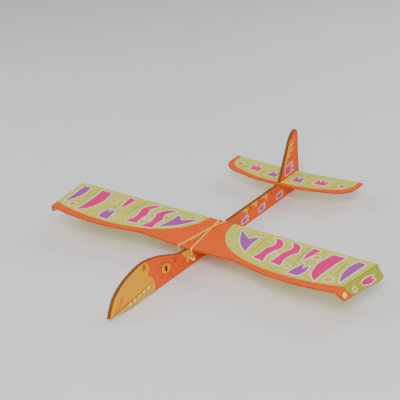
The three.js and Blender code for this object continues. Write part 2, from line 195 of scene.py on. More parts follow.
def printed(name, code, axis, mottle=0.0, dark=None):
    """Ink printed on balsa: the wood's grain shows faintly through it."""
    n = Nodes(name)
    streaks = n.noise(grain_scale(axis, 14, 900), detail=5, roughness=0.6)
    pores = n.noise(grain_scale(axis, 120, 2600), detail=3)
    colour = n.mix(0.35, linear(code), n.ramp(streaks, (0.3, grey(0.72)), (0.62, grey(1.0))), "MULTIPLY")
    if mottle:
        patches = n.noise((150, 150, 150), detail=6, roughness=0.7)
        mask = n.ramp(patches, (0.46, grey(0)), (0.62, grey(mottle)))
        colour = n.mix(mask, colour, linear(dark))
    height = n.maths("ADD", n.maths("MULTIPLY", streaks, 0.7), n.maths("MULTIPLY", pores, 0.5))
    return n.shade(
        Base_Color=colour,
        Roughness=n.ramp(pores, (0.35, grey(0.46)), (0.7, grey(0.66))),
        Normal=n.bump(height, 0.35),
        Specular_IOR_Level=0.2,
    )


def bare_wood(name, pale, deep, axis, rough=0.7):
    n = Nodes(name)
    rings = n.noise(grain_scale(axis, 10, 420), detail=6, roughness=0.65)
    pores = n.noise(grain_scale(axis, 180, 3200), detail=3)
    colour = n.ramp(rings, (0.32, linear(deep)), (0.5, linear(pale)), (0.72, linear(deep)))
    colour = n.mix(0.25, colour, n.ramp(pores, (0.35, grey(0.55)), (0.6, grey(1.0))), "MULTIPLY")
    return n.shade(Base_Color=colour, Roughness=rough, Normal=n.bump(pores, 0.4))


def burnt_edge(name, pale, deep):
    """A laser-cut edge: brown, with soot in streaks across the sheet's layers."""
    n = Nodes(name)
    soot = n.noise((260, 260, 260), detail=6, roughness=0.7)
    layers = n.noise((60, 60, 60), detail=2)
    colour = n.ramp(soot, (0.3, linear(deep)), (0.66, linear(pale)))
    colour = n.mix(0.5, colour, n.ramp(layers, (0.3, grey(0.7)), (0.7, grey(1.0))), "MULTIPLY")
    return n.shade(Base_Color=colour, Roughness=0.8, Normal=n.bump(soot, 0.5))


def vinyl(name, code):
    n = Nodes(name)
    dimples = n.noise((420, 420, 420), detail=2)
    tone = n.noise((18, 18, 18), detail=2)
    colour = n.mix(0.12, linear(code), n.ramp(tone, (0.3, grey(0.6)), (0.7, grey(1.0))), "MULTIPLY")
    return n.shade(Base_Color=colour, Roughness=0.38, Specular_IOR_Level=0.3, Normal=n.bump(dimples, 0.08))


def rubber(name, code):
    n = Nodes(name)
    chalk = n.noise((500, 500, 500), detail=5, roughness=0.7)
    colour = n.mix(0.3, linear(code), n.ramp(chalk, (0.35, grey(0.75)), (0.65, grey(1.0))), "MULTIPLY")
    return n.shade(Base_Color=colour, Roughness=0.55, Subsurface_Weight=0.05, Normal=n.bump(chalk, 0.25))


def steel(name):
    n = Nodes(name)
    turned = n.noise((90, 1500, 90), detail=4)
    return n.shade(
        Base_Color=n.ramp(turned, (0.3, grey(0.34)), (0.7, grey(0.52))),
        Metallic=1.0,
        Roughness=n.ramp(turned, (0.3, grey(0.28)), (0.7, grey(0.45))),
        Normal=n.bump(turned, 0.15),
    )


ORANGE = "ff7300"
MEMBRANE = "dde070"
MEMBRANE_DARK = "b9bd3a"
INK = {
    "wing_orange": printed("wing_orange", ORANGE, GRAIN_X),
    "plank_orange": printed("plank_orange", ORANGE, GRAIN_Y),
    "fin_orange": printed("fin_orange", ORANGE, GRAIN_Z),
    "membrane": printed("membrane", MEMBRANE, GRAIN_X, 0.55, MEMBRANE_DARK),
    # painted shade: the membrane's green darkened for the folded-down tip, whose face is turned away from the
    # light
    "membrane_shade": printed("membrane_shade", "b9bb4c", GRAIN_X, 0.5, "98991f"),
    "rib": printed("rib", "8f930c", GRAIN_X),
    "rib_faint": printed("rib_faint", "a9ad26", GRAIN_X),
    "beak": printed("beak", "ffbe00", GRAIN_Y),
    "beak_shade": printed("beak_shade", "ffa00a", GRAIN_Y),
    "wrinkle": printed("wrinkle", "d94a06", GRAIN_Y),
    "flame": printed("flame", "ffc400", GRAIN_Y),
    "freckle": printed("freckle", "b33a05", GRAIN_Y),
    "mouth": printed("mouth", "5a2c06", GRAIN_Y),
    "pupil": printed("pupil", "1a1008", GRAIN_Y),
    "tooth": printed("tooth", "fffbe8", GRAIN_Y),
    "claw": printed("claw", "fff6c0", GRAIN_X),
    "claw_rim": printed("claw_rim", "ffe27a", GRAIN_X),
    "burnt": burnt_edge("burnt", "a0600f", "6b3a06"),
    "painted_edge": burnt_edge("painted_edge", "f06a06", "b8500a"),
    "bare_balsa": bare_wood("bare_balsa", "ead2a0", "cfae76", GRAIN_Y),
    "dowel": bare_wood("dowel", "ffe9a8", "edcf86", GRAIN_X, 0.5),
    "border": vinyl("border", "fff6ea"),
    "pink": vinyl("pink", "f80090"),
    "purple": vinyl("purple", "b258ac"),
    "yellow": vinyl("yellow", "ffc200"),
    "rubber": rubber("rubber", "ffe578"),
    "steel": steel("steel"),
}

# ---- drawing planes ----
class Plane:
    """Places millimetres drawn along u and v, at a height along n, in the frame."""

    def __init__(self, origin, u, v, n):
        self.origin, self.u, self.v, self.n = (Vector(a) for a in (origin, u, v, n))
        self.mirrored = self.u.cross(self.v).dot(self.n) < 0

    def point(self, x, y, height):
        return (self.origin + self.u * x + self.v * y + self.n * height) * MM

    def drawn(self, point):
        away = Vector(point) / MM - self.origin
        return (away.dot(self.u), away.dot(self.v), away.dot(self.n))


# ---- outlines ----
CLOSE = 0.02  # two drawn points nearer than this are one


def loops_at(node, plane, height):
    """The closed outlines of a CAD node's flat face at a height over the plane: the outer one first."""
    mesh = frame["nodes"][node].data
    mesh.calc_loop_triangles()
    drawn = [plane.drawn(v.co) for v in mesh.vertices]
    keys = [(round(x, 2), round(y, 2)) for x, y, _ in drawn]
    level = [abs(h - height) < CLOSE for _, _, h in drawn]
    sides = set()
    for triangle in mesh.loop_triangles:
        a, b, c = triangle.vertices
        if level[a] and level[b] and level[c]:
            for p, q in ((a, b), (b, c), (c, a)):
                if keys[p] != keys[q]:
                    sides.add((keys[p], keys[q]))
    following = {p: q for p, q in sides if (q, p) not in sides}
    loops = []
    while following:
        start, here = following.popitem()
        loop = [start]
        while here != start:
            loop.append(here)
            here = following.pop(here)
        loops.append(tidy_loop([Vector(p) for p in loop]))
    loops.sort(key=lambda loop: -abs(area(loop)))
    return [wound(loop, i == 0) for i, loop in enumerate(loops)]


def area(loop):
    return 0.5 * sum(p.cross(loop[i - 1]) for i, p in enumerate(loop)) * -1


def wound(loop, outer):
    """Outer outlines run anticlockwise and holes clockwise."""
    return loop if (area(loop) > 0) == outer else loop[::-1]


def tidy_loop(loop, nearest=CLOSE, straight=1e-3):
    """Without points that lie on their neighbours or on the line between them."""
    kept = []
    for p in loop:
        if not kept or (p - kept[-1]).length > nearest:
            kept.append(p)
    if (kept[0] - kept[-1]).length <= nearest:
        kept.pop()
    out = []
    for i, p in enumerate(kept):
        before = (p - kept[i - 1]).normalized()
        after = (kept[(i + 1) % len(kept)] - p).normalized()
        if abs(before.cross(after)) > straight or before.dot(after) < 0:
            out.append(p)
    return out


def offset(loop, distance):
    """The outline with each side moved away from the material, or into it by a negative distance."""
    out = []
    for i, p in enumerate(loop):
        before = (p - loop[i - 1]).normalized()
        after = (loop[(i + 1) % len(loop)] - p).normalized()
        both = Vector((before.y + after.y, -before.x - after.x))
        out.append(p + both * (distance / max(0.4, 1 + before.dot(after))))
    return out


def smooth(points, steps=4, closed=False):
    """Points along a Catmull-Rom curve through the given ones."""
    given = [Vector(p) for p in points]
    last = len(given) - 1
    out = []
    for i in range(len(given) if closed else last):
        pick = (lambda k: given[k % len(given)]) if closed else (lambda k: given[min(max(k, 0), last)])
        a, b, c, d = (pick(i + k) for k in (-1, 0, 1, 2))
        for step in range(steps):
            t = step / steps
            square, cube = 2 * a - 5 * b + 4 * c - d, 3 * b - a - 3 * c + d
            out.append(0.5 * (2 * b + (c - a) * t + square * t**2 + cube * t**3))
    return out if closed else out + [given[-1]]


def shape(*stretches):
    """A printed outline: each stretch is a corner (x, y) or a list of points on a smooth run."""
    out = []
    for stretch in stretches:
        out += smooth(stretch) if isinstance(stretch, list) else [Vector(stretch)]
    return tidy_loop(out)


def ellipse(x, y, a, b, turn=0.0, steps=28):
    c, s = math.cos(math.radians(turn)), math.sin(math.radians(turn))
    out = []
    for k in range(steps):
        p, q = a * math.cos(math.tau * k / steps), b * math.sin(math.tau * k / steps)
        out.append(Vector((x + p * c - q * s, y + p * s + q * c)))
    return out


def stroke(points, width, ends=0.15):
    """A brush stroke along a smooth run, thinning to a share of its width at both ends."""
    line = smooth(points, 5) if len(points) > 2 else [Vector(p) for p in points]
    if len(line) == 2:
        line = [line[0].lerp(line[1], t / 6) for t in range(7)]
    left, right = [], []
    for i, p in enumerate(line):
        along = (line[min(i + 1, len(line) - 1)] - line[max(i - 1, 0)]).normalized()
        share = ends + (1 - ends) * math.sin(math.pi * i / (len(line) - 1))
        across = Vector((-along.y, along.x)) * (width / 2 * share)
        left.append(p + across)
        right.append(p - across)
    return left + right[::-1]


def inside(p, loop):
    x, y = p
    odd = False
    for i, b in enumerate(loop):
        a = loop[i - 1]
        if (a.y > y) != (b.y > y) and x < a.x + (y - a.y) * (b.x - a.x) / (b.y - a.y):
            odd = not odd
    return odd


# ---- sheets ----
ROUNDING_STEPS = 3


def crossings(a, b, prints):
    """Where along the side from a to b the prints' outlines cross it, from 0 to 1."""
    side = b - a
    out = []
    for _, loop in prints:
        for i, d in enumerate(loop):
            c = loop[i - 1]
            other = d - c
            bottom = side.cross(other)
            if abs(bottom) < 1e-9:
                continue
            t = (c - a).cross(other) / bottom
            s = (c - a).cross(side) / bottom
            if 0 <= s <= 1 and 0 < t < 1:
                out.append(t)
    return out


def split_sides(pair, prints):
    """Both outlines of a pair, each with the points where prints cross either."""
    first, second = pair
    out = ([], [])
    for i, p in enumerate(first):
        q = first[(i + 1) % len(first)]
        a, b = second[i], second[(i + 1) % len(second)]
        margin = CLOSE / max((q - p).length, CLOSE)
        shares = [0.0]
        for t in sorted(crossings(p, q, prints) + crossings(a, b, prints)):
            if t - shares[-1] > margin and 1 - t > margin:
                shares.append(t)
        for t in shares:
            out[0].append(p.lerp(q, t))
            out[1].append(a.lerp(b, t))
    return out


def painted(loops, prints, base):
    """The area inside the loops cut into triangles along the prints' outlines: points, and (corners, ink)."""
    points, sides = [], []
    for loop in loops + [loop for _, loop in prints]:
        start = len(points)
        points += [p.to_2d() for p in loop]
        sides += [(start + i, start + (i + 1) % len(loop)) for i in range(len(loop))]
    made = delaunay_2d_cdt(points, sides, [], 0, CLOSE / 4, False)
    boxes = []
    for ink, loop in prints:
        xs, ys = [p.x for p in loop], [p.y for p in loop]
        boxes.append((ink, loop, min(xs), max(xs), min(ys), max(ys)))
    triangles = []
    for corners in made[2]:
        middle = sum((made[0][i] for i in corners), Vector((0, 0))) / 3
        if sum(inside(middle, loop) for loop in loops) % 2 == 0:
            continue
        ink = base
        for name, loop, low_x, high_x, low_y, high_y in boxes:
            if low_x < middle.x < high_x and low_y < middle.y < high_y and inside(middle, loop):
                ink = name
        triangles.append((corners, ink))
    return made[0], triangles


class Builder:
    """Collects one piece's points and faces, each face with the name of its ink."""

    def __init__(self, name):
        self.name = name
        self.points, self.faces, self.inks = [], [], []
        self.known = {}

    def vertex(self, p):
        key = tuple(round(c / MM, 3) for c in p)
        if key not in self.known:
            self.known[key] = len(self.points)
            self.points.append(Vector(p))
        return self.known[key]

    def face(self, corners, ink, flipped=False):
        ids = []
        for p in corners:
            i = self.vertex(p)
            if i not in ids:
                ids.append(i)
        if len(ids) > 2:
            self.faces.append(ids[::-1] if flipped else ids)
            self.inks.append(ink)

    def strip(self, lower, upper, ink, flipped=False, closed=True):
        count = len(lower)
        for i in range(count if closed else count - 1):
            j = (i + 1) % count
            self.face([lower[i], lower[j], upper[j], upper[i]], ink, flipped)

    def finish(self, body, slot, *nodes):
        mesh = bpy.data.meshes.new(self.name)
        mesh.from_pydata(self.points, [], self.faces)
        names = sorted(set(self.inks))
        for name in names:
            mesh.materials.append(INK[name])
        for polygon, ink in zip(mesh.polygons, self.inks):
            polygon.material_index = names.index(ink)
        mesh.shade_smooth()
        welded(mesh)
        piece = bpy.data.objects.new(self.name, mesh)
        bpy.context.scene.collection.objects.link(piece)
        even = piece.modifiers.new("even_normals", "WEIGHTED_NORMAL")
        even.keep_sharp = True
        even.weight = 100
        if body:
            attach(piece, body)
        if nodes:
            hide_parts(*nodes)
        return piece


SHARP_CORNER = math.radians(50)


def welded(mesh):
    """Joins points that rounding kept apart, and makes corners over SHARP_CORNER sharp."""
    work = bmesh.new()
    work.from_mesh(mesh)
    bmesh.ops.remove_doubles(work, verts=work.verts, dist=0.004 * MM)
    bmesh.ops.dissolve_degenerate(work, dist=0.001 * MM, edges=work.edges)
    for edge in work.edges:
        if len(edge.link_faces) == 2:
            edge.smooth = edge.calc_face_angle(0.0) < SHARP_CORNER
    work.to_mesh(mesh)
    work.free()


def sheet(name, plane, tops, bottoms, heights, prints, base, edge, rounding, pockets=()):
    """A sheet with rounded edges between two flat faces, both printed.

    tops and bottoms are lists of outlines, the outer one first, that match point for point.
    """
    made = Builder(name)
    low, high = heights
    inset = [[offset(loop, -rounding) for loop in loops] for loops in (tops, bottoms)]
    pairs = [split_sides(pair, prints) for pair in zip(*inset)]
    faces = {high: [pair[0] for pair in pairs], low: [pair[1] for pair in pairs]}
    holes = [offset(loop, -rounding) for loop, _ in pockets]
    holes = [split_sides((hole, hole), prints)[0] for hole in holes]
    for height, loops in faces.items():
        extra = holes if height == low else []
        points, triangles = painted(loops + extra, prints, base)
        flipped = (height == low) != plane.mirrored
        for corners, ink in triangles:
            made.face([plane.point(*points[i], height) for i in corners], ink, flipped)
    for above, below in pairs:
        rings = rounded_rings(plane, above, high, rounding, -1)
        rings += rounded_rings(plane, below, low, rounding, 1)[::-1]
        for first, second in zip(rings, rings[1:]):
            made.strip(second, first, edge, plane.mirrored)
    for hole, (_, depth) in zip(holes, pockets):
        rings = rounded_rings(plane, hole, low, rounding, 1)
        floor = [plane.point(p.x, p.y, low + depth) for p in offset(hole, rounding)]
        rings.append(floor)
        for first, second in zip(rings, rings[1:]):
            made.strip(first, second, edge, plane.mirrored)
        middle = sum(floor, Vector()) / len(floor)
        for i, p in enumerate(floor):
            made.face([floor[i - 1], p, middle], edge, plane.mirrored)
    return made


def rounded_rings(plane, loop, height, rounding, inward):
    """The quarter-round from a flat face's edge to the side wall."""
    rings = []
    for step in range(ROUNDING_STEPS + 1):
        angle = math.pi / 2 * step / ROUNDING_STEPS
        out = offset(loop, rounding * math.sin(angle))
        sunk = height + inward * rounding * (1 - math.cos(angle))
        rings.append([plane.point(p.x, p.y, sunk) for p in out])
    return rings


# ---- the frame's planes and sizes ----
DIHEDRAL = math.radians(3)
WING_BASE_Z = 31.7
WING_THICKNESS = 3.0
FOLD_AT_REST = math.radians(65)
FOLD_MOST = math.radians(80)
HALF_PLANK = 3.0
TAIL_BASE_Z = 31.0
TAIL_THICKNESS = 2.5
EDGE_ROUNDING = 0.45
BLOCK_ROUNDING = 0.15  # the seat is only 0.6 mm thick in its middle
FILM = (0.02, 0.22)  # a sticker's lower and upper face over the sheet
FILM_ROUNDING = 0.08
CAD_FILM_TOP = 0.3
BEVEL_RUN = WING_THICKNESS * math.tan(FOLD_MOST / 2)
BEVEL_FADE = 9.5  # this far from the crease the tip's underside follows its top again


def mirror(vector, side):
    return Vector((vector.x * SIDES[side], vector.y, vector.z))


def mirrored_plane(plane, side):
    return Plane(*(mirror(a, side) for a in (plane.origin, plane.u, plane.v, plane.n)))


JOINTS = {joint["name"]: joint for joint in frame["record"]["behaviour"]["joints"]}
CREASE = JOINTS["tip_port_fold"]
CREASE_START = Vector(CREASE["pos_m"]) / MM
CREASE_ALONG = Vector(CREASE["axis"]).normalized()

WING = Plane(
    (0, 0, WING_BASE_Z),
    (math.cos(DIHEDRAL), 0, math.sin(DIHEDRAL)),
    (0, 1, 0),
    (-math.sin(DIHEDRAL), 0, math.cos(DIHEDRAL)),
)


def folded_plane(fold):
    """The tip's own plane on the port side: u outward, v along the crease, its top face at height 0."""
    turn = Matrix.Rotation(fold, 3, CREASE_ALONG)
    return Plane(CREASE_START, turn @ CREASE_ALONG.cross(WING.n), CREASE_ALONG, turn @ WING.n)


TIP = folded_plane(FOLD_AT_REST)
FLANK = {
    "port": Plane((0, 0, 0), (0, 1, 0), (0, 0, 1), (1, 0, 0)),
    "starboard": Plane((0, 0, 0), (0, 1, 0), (0, 0, 1), (-1, 0, 0)),
}
TAIL = Plane((0, 0, TAIL_BASE_Z), (1, 0, 0), (0, 1, 0), (0, 0, 1))
ACROSS = Plane((0, 0, 0), (1, 0, 0), (0, 0, 1), (0, -1, 0))

# ---- prints ----
RIBS = (((103, -28), (101, 28)), ((180, -25), (178, 26)), ((250, -35), (251, 14)))
RIB_INBOARD = {"port": (0, 0, 0), "starboard": (32, 31, 7)}
SPOTS = ((72, 24), (114, 1), (240, -2), (257, -34), (198, -17))
SPOT_INBOARD = {"port": (0, 0, 0, 0, 0), "starboard": (26, 30, -12, 10, 18)}
RIB_WIDTH = 1.7
SPOT_SIZE = (2.6, 1.9)


def wing_prints(side):
    out = [
        (
            "membrane",
            shape(
                (24, 62),
                [(24, 44), (28, 20), (39, -3), (57, -23), (79, -38), (105, -49)]
                + [(138, -58), (176, -63), (217, -64), (250, -61), (284, -55)],
                (330, -50),
                (330, 62),
            ),
        )
    ]
    for (start, end), shift in zip(RIBS, RIB_INBOARD[side]):
        ends = [(start[0] - shift, start[1]), (end[0] - shift, end[1])]
        out.append(("rib", stroke(ends, RIB_WIDTH)))
        faint = [(x + 6, 0.6 * y - 4) for x, y in ends]
        out.append(("rib_faint", stroke(faint, RIB_WIDTH * 0.7)))
    for (x, y), shift in zip(SPOTS, SPOT_INBOARD[side]):
        out.append(("rib_faint", ellipse(x - shift, y, *SPOT_SIZE, 20)))
        out.append(("rib_faint", ellipse(x - shift + 4, y + 4, 1.3, 1.0)))
    return out


CLAW = (11.3, 13.6)
CREASE_STROKE = 0.5


def tip_prints():
    start = [(-4, 17), (3, 18.5), (10, 22.5), (19, 30), (30, 40)]
    return [
        # the tip's membrane is painted darker: painted shade of the folded-down face
        ("membrane_shade", shape(start, (40, 110), (-4, 110))),
        ("claw_rim", ellipse(*CLAW, 4.4, 4.4)),
        ("claw", ellipse(*CLAW, 3.5, 3.5)),
    ]


def tail_prints():
    half = [(0, 213), (38, 214), (62, 218.5), (84, 225), (105, 233), (118, 244), (123, 260), (123, 290)]
    out = [("membrane", shape([(-x, y) for x, y in half[::-1]][:-1] + half))]
    for side in SIDES.values():
        for x, low, high in ((47, 224, 250), (92, 226, 250)):
            out.append(("rib", stroke([(side * x, low), (side * (x + 1.5), high)], 1.3)))
            out.append(("rib_faint", stroke([(side * (x + 5), low + 5), (side * (x + 6), high - 3)], 1.0)))
        for x, y in ((44, 221), (49, 233), (97, 228)):
            out.append(("rib_faint", ellipse(side * x, y, 1.7, 1.3)))
    return out


def head_prints():
    cheek = [(-214, 25), (-209, 31), (-206, 31), (-207, 21), (-216, 12.5), (-230, 8.5)]
    lips = [(-238, 7.4), (-221, 9.4), (-204, 11.3), (-186, 13), (-169, 15), (-144.5, 18.4)]
    out = [
        (
            "beak",
            shape(
                [(-168, 74), (-154, 60), (-147, 51), (-145, 44), (-147, 38), (-150, 33.5)],
                [(-150, 33.5), (-141.5, 27), (-137, 18), (-136, 11), (-138, 3), (-142, -6)],
                (-252, -6),
                (-252, 74),
            ),
        ),
        ("beak_shade", smooth(cheek, 4, True)),
        ("beak_shade", ellipse(-155, 50, 5.5, 6.5, 20)),
        ("mouth", stroke([(-159, 47.5), (-156, 49), (-155.5, 53), (-158, 55)], 2.6)),
        ("mouth", stroke(lips, 1.4, 0.4)),
    ]
    for y, z in ((-151.5, 16.3), (-162, 15.0), (-173, 13.6), (-184, 12.2), (-194.5, 11.1)):
        corners = ((y - 3.2, z - 1.2), (y + 0.5, z - 5.4), (y + 3.4, z - 0.4))
        out.append(("tooth", [Vector(corner) for corner in corners]))
    out += [
        ("wrinkle", ellipse(-107.5, 24.6, 12.4, 10.0, -20)),
        ("wrinkle", stroke([(-124, 30), (-120, 36.5), (-112, 38.5), (-101, 35.5)], 1.6)),
        ("wrinkle", stroke([(-91, 30), (-90, 24), (-93.5, 17.5)], 1.5)),
        ("wrinkle", stroke([(-123, 22), (-120, 15), (-113, 11.5)], 1.6)),
        ("wrinkle", stroke([(-109, 9), (-101, 9.5), (-95, 13)], 1.4)),
        ("beak", ellipse(-107.5, 24.6, 10.8, 8.4, -20)),
        ("beak_shade", ellipse(-107.5, 24.4, 5.2, 6.6, 5)),
        ("pupil", ellipse(-107.8, 24.4, 2.4, 5.6, 10)),
    ]
    for y, z, size in ((-87, 32.5, 1.7), (-84.5, 26.5, 1.9), (-80.5, 29.5, 1.2), (-83, 35, 1.1)):
        out.append(("freckle", ellipse(y, z, size * 1.3, size, 60)))
    tongues = [(-50, 16), (-57, 9), (-60, 20), (-66, 27)]
    out.append(("flame", shape((-76, 42), (-45, 42), [(-45, 24), (-46.5, 16)], tongues)))
    return out


BOOM_FLAMES = (159, 128, 99)
BOOM_FRECKLES = (
    (184, 24.5, 2.0),
    (196, 22.5, 1.6),
    (149, 24.5, 2.0),
    (146, 19.5, 1.4),
    (120, 25, 1.9),
    (114, 21.5, 1.5),
)


def boom_prints():
    out = []
    for y in BOOM_FLAMES:
        fore = [(y, 27.5), (y + 4, 24), (y + 7, 18.5)]
        aft = [(y + 11, 22), (y + 12, 29)]
        out.append(("flame", shape((y - 8, 36), (y - 6, 29), fore, aft, (y + 9, 36))))
    for y, z, size in BOOM_FRECKLES:
        out.append(("freckle", ellipse(y, z, size * 1.3, size, 20)))
    return out


def fin_prints():
    out = [
        (
            "flame",
            shape(
                (220, 62),
                [(230, 59), (237, 62), (240, 66)],
                (239, 70),
                [(245, 68), (252, 72)],
                (248, 76),
                [(255, 77), (262, 84)],
                (256, 86),
                [(262, 90), (266, 99)],
                [(258, 96), (252, 92)],
                (250, 125),
                (225, 110),
            ),
        )
    ]
    for k in range(4):
        y, z = 243 + 5.2 * k, 63.5 + 8.6 * k
        out.append(("wrinkle", stroke([(y - 5, z + 3), (y + 5, z + 3.2), (y + 14, z + 6.5)], 1.5)))
    return out


# ---- pieces ----
WING_ROOT_X = 0.1
AT_ROOT = 1.0
ON_CREASE = 0.3


def at_crease_or_root(loop):
    """The wing's lower outline: sunk under the crease by the bevel, and upright at the root."""
    start = WING.drawn(CREASE_START * MM)
    along = Vector((CREASE_ALONG.dot(WING.u), CREASE_ALONG.dot(WING.v)))
    outward = Vector((along.y, -along.x))
    out = []
    for p in loop:
        near = abs((p - Vector(start[:2])).dot(outward)) < ON_CREASE
        lower = p - outward * BEVEL_RUN if near else p.copy()
        out.append(Vector((WING_ROOT_X, p.y)) if p.x < AT_ROOT else lower)
    return out


def off_crease(loop):
    """The tip's lower outline: moved off the crease by the bevel, less so further out."""
    out = []
    for p in loop:
        share = max(0.0, 1 - p.x / BEVEL_FADE)
        out.append(Vector((p.x + BEVEL_RUN * share, p.y)))
    return out


def make_wing(side):
    plane = mirrored_plane(WING, side)
    node = f"wing_{side}"
    tops = loops_at(node, plane, WING_THICKNESS)
    bottoms = [at_crease_or_root(loop) for loop in tops]
    name, heights, prints = f"{node}_sheet", (0, WING_THICKNESS), wing_prints(side)
    made = sheet(name, plane, tops, bottoms, heights, prints, "wing_orange", "painted_edge", EDGE_ROUNDING)
    made.finish("airframe", "printed_balsa", node)


def make_tip(side):
    plane = mirrored_plane(TIP, side)
    node = f"tip_{side}"
    tops = loops_at(node, plane, 0)
    bottoms = [off_crease(loop) for loop in tops]
    name, heights, prints = f"{node}_sheet", (-WING_THICKNESS, 0), tip_prints()
    made = sheet(name, plane, tops, bottoms, heights, prints, "wing_orange", "painted_edge", EDGE_ROUNDING)
    made.finish(f"tip_{side}", "printed_balsa", node)


def make_tail():
    loops = loops_at("tailplane", TAIL, TAIL_THICKNESS)
    name, heights, prints = "tailplane_sheet", (0, TAIL_THICKNESS), tail_prints()
    made = sheet(name, TAIL, loops, loops, heights, prints, "wing_orange", "painted_edge", EDGE_ROUNDING)
    made.finish("airframe", "printed_balsa", "tailplane")


def make_plank():
    plane = FLANK["port"]
    loops = loops_at("fuselage", plane, HALF_PLANK)
    pocket = loops_at("fuselage", plane, -HALF_PLANK)[1]
    weight_low, weight_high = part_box("nose_weight")
    depth = (weight_high[0] - weight_low[0]) / MM + 0.1
    name, heights, prints = "fuselage_plank", (-HALF_PLANK, HALF_PLANK), head_prints() + boom_prints()
    pockets = [(pocket, depth)]
    made = sheet(name, plane, loops, loops, heights, prints, "plank_orange", "burnt", EDGE_ROUNDING, pockets)
    made.finish("airframe", "printed_balsa", "fuselage")


def make_fin():
    plane = FLANK["port"]
    loops = loops_at("fin", plane, HALF_PLANK)
    name, heights, prints = "fin_plank", (-HALF_PLANK, HALF_PLANK), fin_prints()
    made = sheet(name, plane, loops, loops, heights, prints, "fin_orange", "burnt", EDGE_ROUNDING)
    made.finish("airframe", "printed_balsa", "fin")


def make_plain(node, plane, heights):
    loops = loops_at(node, plane, heights[1])
    name, ink = f"{node}_block", "bare_balsa"
    made = sheet(name, plane, loops, loops, heights, [], ink, ink, BLOCK_ROUNDING)
    made.finish("airframe", "bare_balsa", node)


STICKER_COLOURS = {"sticker_pink": "pink", "sticker_purple": "purple", "sticker_yellow": "yellow"}
SLOTS = {part["node"]: part["material_slot"] for part in frame["record"]["subparts"]}


def make_sticker(node, plane, surface, border, body):
    """A vinyl sticker: its colour inside a pale margin."""
    loop = loops_at(node, plane, surface + CAD_FILM_TOP)[0]
    inner = tidy_loop(offset(loop, -border), 0.35)
    colour = STICKER_COLOURS[SLOTS[node]]
    heights = (surface + FILM[0], surface + FILM[1])
    name, prints = f"{node}_film", [(colour, inner)]
    made = sheet(name, plane, [loop], [loop], heights, prints, "border", "border", FILM_ROUNDING)
    made.finish(body, SLOTS[node], node)


def make_stickers():
    for node in frame["nodes"]:
        if not node.startswith("sticker_"):
            continue
        _, side, *words = node.split("_")
        kind = "_".join(words)
        if kind in ("tip_flame", "tip_dot"):
            make_sticker(node, mirrored_plane(TIP, side), 0, 1.5, f"tip_{side}")
        elif kind.startswith("tail"):
            make_sticker(node, mirrored_plane(TAIL, side), TAIL_THICKNESS, 1.5, "airframe")
        elif kind.startswith("fin"):
            make_sticker(node, FLANK[side], HALF_PLANK, 1.5, "airframe")
        elif kind.startswith("boom"):
            make_sticker(node, FLANK[side], HALF_PLANK, 1.2, "airframe")
        else:
            make_sticker(node, mirrored_plane(WING, side), WING_THICKNESS, 2.0, "airframe")


# ---- the strip that joins each tip to its wing over the crease ----
STRIP_HALF_WIDTH = 6.0
STRIP_ENDS = (1.2, 94.2)
STRIP_LIFT = (0.01, 0.16)
STRIP_STEPS = 36
BEND_STEPS = 8
INK_LINE = 17.0  # where the orange meets the membrane on the crease


def make_strip(side):
    flat = mirrored_plane(folded_plane(0), side)
    tip = mirrored_plane(TIP, side)
    across = [(-STRIP_HALF_WIDTH, 0.0), (-3.0, 0.0), (-CREASE_STROKE, 0.0)]
    across += [(0.0, k / BEND_STEPS) for k in range(BEND_STEPS + 1)]
    across += [(CREASE_STROKE, 1.0), (3.0, 1.0), (STRIP_HALF_WIDTH, 1.0)]
    length = STRIP_ENDS[1] - STRIP_ENDS[0]
    along = [STRIP_ENDS[0] + length * k / STRIP_STEPS for k in range(STRIP_STEPS + 1)]
    boundary = along.index(min(along, key=lambda a: abs(a - INK_LINE)))

    def spot(s, share, k, lift):
        run = along[k]
        if k == boundary:
            run = INK_LINE + (0.5 * s if s > 0 else 0.3 * s)
        bent = mirrored_plane(folded_plane(FOLD_AT_REST * share), side)
        return bent.point(s, run, lift)

    made = Builder(f"hinge_strip_{side}")
    low, high = STRIP_LIFT
    rows = {}
    for lift in STRIP_LIFT:
        rows[lift] = [[spot(s, share, k, lift) for k in range(len(along))] for s, share in across]
    for i in range(len(across) - 1):
        middle = (across[i][0] + across[i + 1][0]) / 2
        for k in range(len(along) - 1):
            # on the tip's side of the crease the strip takes the membrane's painted shade
            ink = "wing_orange" if k < boundary else ("membrane_shade" if middle > 0 else "membrane")
            if abs(middle) < CREASE_STROKE and k >= boundary:
                ink = "rib"
            for lift in STRIP_LIFT:
                r = rows[lift]
                corners = [r[i][k], r[i + 1][k], r[i + 1][k + 1], r[i][k + 1]]
                made.face(corners, ink, (lift == low) != flat.mirrored)
    for i in range(len(across) - 1):
        for k in (0, len(along) - 1):
            a, b = rows[low], rows[high]
            corners = [a[i][k], a[i + 1][k], b[i + 1][k], b[i][k]]
            made.face(corners, "wing_orange" if k == 0 else "membrane", (k != 0) != flat.mirrored)
    for k in range(len(along) - 1):
        for i in (0, len(across) - 1):
            a, b = rows[low], rows[high]
            corners = [a[i][k + 1], a[i][k], b[i][k], b[i][k + 1]]
            made.face(corners, "wing_orange" if k < boundary else "membrane", (i != 0) != flat.mirrored)
    piece = made.finish(None, "hinge_tape", f"hinge_tape_{side}")
    start = flat.point(-CREASE_STROKE, 48, 0)
    end = tip.point(CREASE_STROKE, 48, 0)
    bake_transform(piece)


